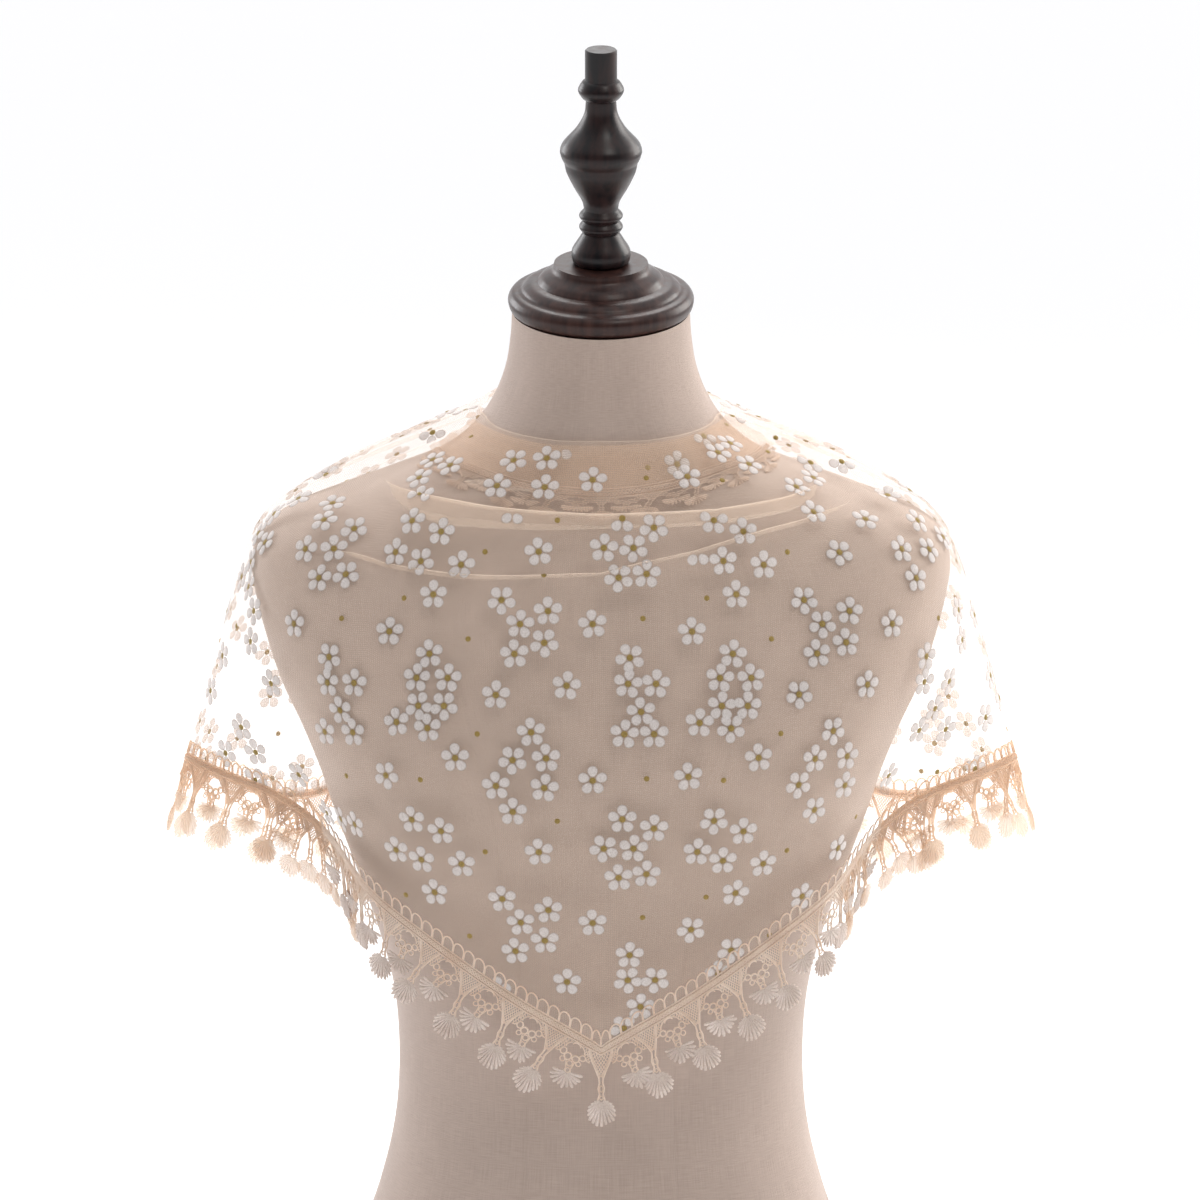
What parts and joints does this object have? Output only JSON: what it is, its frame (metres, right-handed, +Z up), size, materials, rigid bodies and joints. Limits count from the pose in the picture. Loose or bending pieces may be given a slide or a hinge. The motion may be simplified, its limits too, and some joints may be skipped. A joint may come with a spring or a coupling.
{
  "type": "lace shawl worn on a dress form",
  "caption": "Sheer triangular shawl with a pendant lace trim, wrapped round the shoulders of a limbless padded dress form with a turned wooden neck cap and finial.",
  "frame": {"origin": "under the middle of the whole object, on the flat base of the form", "axes": "+Z up; the form faces -Y; +X is on the viewer's right when the form is seen from the front"},
  "size_m": [0.4886, 0.261, 0.8179],
  "materials": {
    "linen": "matte",
    "dark_wood": "satin",
    "net": "matte",
    "lace": "matte"
  },
  "bodies": {
    "root": {"form_torso": "linen", "neck_cap": "dark_wood", "finial": "dark_wood", "wound_end": "net", "net_front": "net", "net_shoulder_left": "net", "net_shoulder_right": "net", "net_back_left": "net", "net_back_right": "net", "trim_front": "lace", "trim_shoulder_left": "lace", "trim_shoulder_right": "lace", "trim_back_left": "lace", "trim_back_right": "lace"}
  },
  "joints": []
}
